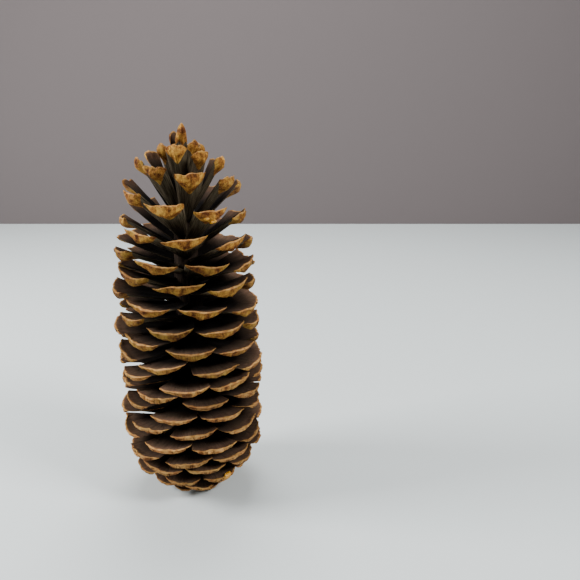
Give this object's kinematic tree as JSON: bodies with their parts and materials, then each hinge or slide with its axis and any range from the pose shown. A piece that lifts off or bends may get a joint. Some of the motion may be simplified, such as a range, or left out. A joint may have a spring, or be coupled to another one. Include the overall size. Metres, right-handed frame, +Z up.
{
  "type": "pine cone",
  "caption": "Long, open, woody seed cone of thin fan-shaped scales in a spiral round a slim axis, standing upright on its base.",
  "frame": {"origin": "centre of the stub's flat end, on the plane that the cone stands on", "axes": "+Z up along the cone's axis, from the stub to the tip; the pictured side faces -Y"},
  "size_m": [0.1083, 0.1098, 0.2738],
  "materials": {
    "cone_wood": "dry, rough, weathered scales"
  },
  "bodies": {
    "root": {"pine_cone": "cone_wood"}
  },
  "joints": []
}
